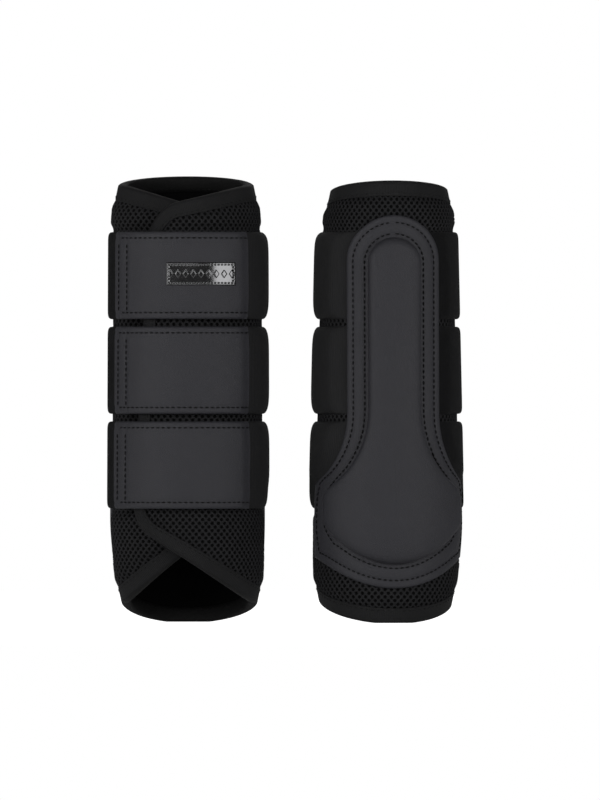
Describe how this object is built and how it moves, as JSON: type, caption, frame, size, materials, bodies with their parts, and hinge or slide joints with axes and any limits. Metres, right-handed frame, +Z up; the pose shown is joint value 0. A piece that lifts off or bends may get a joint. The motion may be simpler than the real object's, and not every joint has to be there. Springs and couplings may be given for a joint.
{
  "type": "tendon boots",
  "caption": "Pair of black padded tendon boots for a horse's lower legs, with overlapping flaps, wide hook-and-loop straps, a moulded strike pad and a metal badge.",
  "frame": {"origin": "on the floor plane at the middle of the pair's bounding box", "axes": "+Z up along the boots' length; +X from the left boot to the right boot; the left boot's straps and the right boot's strike pad face -Y"},
  "size_m": [0.2071, 0.1012, 0.2595],
  "materials": {
    "air_mesh": "matte",
    "foam_core": "matte",
    "lining": "matte",
    "binding": "matte",
    "elastic": "matte",
    "loop_tape": "matte",
    "hook_tape": "matte",
    "coated_cover": "satin",
    "strike_plate": "matte",
    "badge_metal": "polished"
  },
  "bodies": {
    "left_shell": {"left_shell_mesh": "air_mesh", "left_shell_foam": "foam_core", "left_shell_lining": "lining", "left_shell_binding": "binding", "left_strike_pad_cover": "coated_cover", "left_strike_pad_plate": "strike_plate", "left_strike_pad_foam": "foam_core", "left_elastic_anchors": "elastic", "left_loop_tape_shell": "loop_tape"},
    "left_outer_flap": {"left_outer_flap_mesh": "air_mesh", "left_outer_flap_foam": "foam_core", "left_outer_flap_lining": "lining", "left_outer_flap_binding": "binding", "left_elastic_folds": "elastic"},
    "left_inner_flap": {"left_inner_flap_mesh": "air_mesh", "left_inner_flap_foam": "foam_core", "left_inner_flap_lining": "lining", "left_inner_flap_binding": "binding", "left_loop_tape_flap": "loop_tape"},
    "left_strap_bottom": {"left_strap_bottom_elastic": "elastic", "left_strap_bottom_hook": "hook_tape", "left_strap_bottom_cover": "coated_cover"},
    "left_strap_middle": {"left_strap_middle_elastic": "elastic", "left_strap_middle_hook": "hook_tape", "left_strap_middle_cover": "coated_cover"},
    "left_strap_top": {"left_strap_top_elastic": "elastic", "left_strap_top_hook": "hook_tape", "left_strap_top_cover": "coated_cover", "left_badge": "badge_metal"},
    "right_shell": {"right_shell_mesh": "air_mesh", "right_shell_foam": "foam_core", "right_shell_lining": "lining", "right_shell_binding": "binding", "right_strike_pad_cover": "coated_cover", "right_strike_pad_plate": "strike_plate", "right_strike_pad_foam": "foam_core", "right_elastic_anchors": "elastic", "right_loop_tape_shell": "loop_tape"},
    "right_outer_flap": {"right_outer_flap_mesh": "air_mesh", "right_outer_flap_foam": "foam_core", "right_outer_flap_lining": "lining", "right_outer_flap_binding": "binding", "right_elastic_folds": "elastic"},
    "right_inner_flap": {"right_inner_flap_mesh": "air_mesh", "right_inner_flap_foam": "foam_core", "right_inner_flap_lining": "lining", "right_inner_flap_binding": "binding", "right_loop_tape_flap": "loop_tape"},
    "right_strap_bottom": {"right_strap_bottom_elastic": "elastic", "right_strap_bottom_hook": "hook_tape", "right_strap_bottom_cover": "coated_cover"},
    "right_strap_middle": {"right_strap_middle_elastic": "elastic", "right_strap_middle_hook": "hook_tape", "right_strap_middle_cover": "coated_cover"},
    "right_strap_top": {"right_strap_top_elastic": "elastic", "right_strap_top_hook": "hook_tape", "right_strap_top_cover": "coated_cover", "right_badge": "badge_metal"}
  },
  "joints": [
    {"name": "left_outer_flap_fold", "type": "hinge", "parent": "left_shell", "child": "left_outer_flap", "pos_m": [-0.01342, 0, 0.13], "axis": [0, 0, 1], "range_deg": [0, 65]},
    {"name": "left_inner_flap_fold", "type": "hinge", "parent": "left_shell", "child": "left_inner_flap", "pos_m": [-0.10318, 0, 0.13], "axis": [0, 0, 1], "range_deg": [-32.5, 0]},
    {"name": "left_strap_bottom_fold", "type": "hinge", "parent": "left_outer_flap", "child": "left_strap_bottom", "pos_m": [-0.01171, -0.01076, 0.092], "axis": [0, 0, 1], "range_deg": [0, 70]},
    {"name": "left_strap_middle_fold", "type": "hinge", "parent": "left_outer_flap", "child": "left_strap_middle", "pos_m": [-0.01195, -0.0107, 0.1474], "axis": [0, 0, 1], "range_deg": [0, 70]},
    {"name": "left_strap_top_fold", "type": "hinge", "parent": "left_outer_flap", "child": "left_strap_top", "pos_m": [-0.0122, -0.01064, 0.2028], "axis": [0, 0, 1], "range_deg": [0, 70]},
    {"name": "right_outer_flap_fold", "type": "hinge", "parent": "right_shell", "child": "right_outer_flap", "pos_m": [0.01477, -0.00462, 0.13], "axis": [0, 0, 1], "range_deg": [0, 65]},
    {"name": "right_inner_flap_fold", "type": "hinge", "parent": "right_shell", "child": "right_inner_flap", "pos_m": [0.10263, 0.00462, 0.13], "axis": [0, 0, 1], "range_deg": [-32.5, 0]},
    {"name": "right_strap_bottom_fold", "type": "hinge", "parent": "right_outer_flap", "child": "right_strap_bottom", "pos_m": [0.01306, 0.0056, 0.092], "axis": [0, 0, 1], "range_deg": [0, 70]},
    {"name": "right_strap_middle_fold", "type": "hinge", "parent": "right_outer_flap", "child": "right_strap_middle", "pos_m": [0.01427, 0.00546, 0.1474], "axis": [0, 0, 1], "range_deg": [0, 70]},
    {"name": "right_strap_top_fold", "type": "hinge", "parent": "right_outer_flap", "child": "right_strap_top", "pos_m": [0.01547, 0.00531, 0.2028], "axis": [0, 0, 1], "range_deg": [0, 70]},
    {"name": "boots_apart", "type": "slide", "parent": "left_shell", "child": "right_shell", "axis": [1, 0, 0], "range_m": [0, 0.2]}
  ],
  "couplings": [
    {"joint": "left_inner_flap_fold", "follows": "left_outer_flap_fold", "ratio": -0.5},
    {"joint": "right_inner_flap_fold", "follows": "right_outer_flap_fold", "ratio": -0.5}
  ]
}
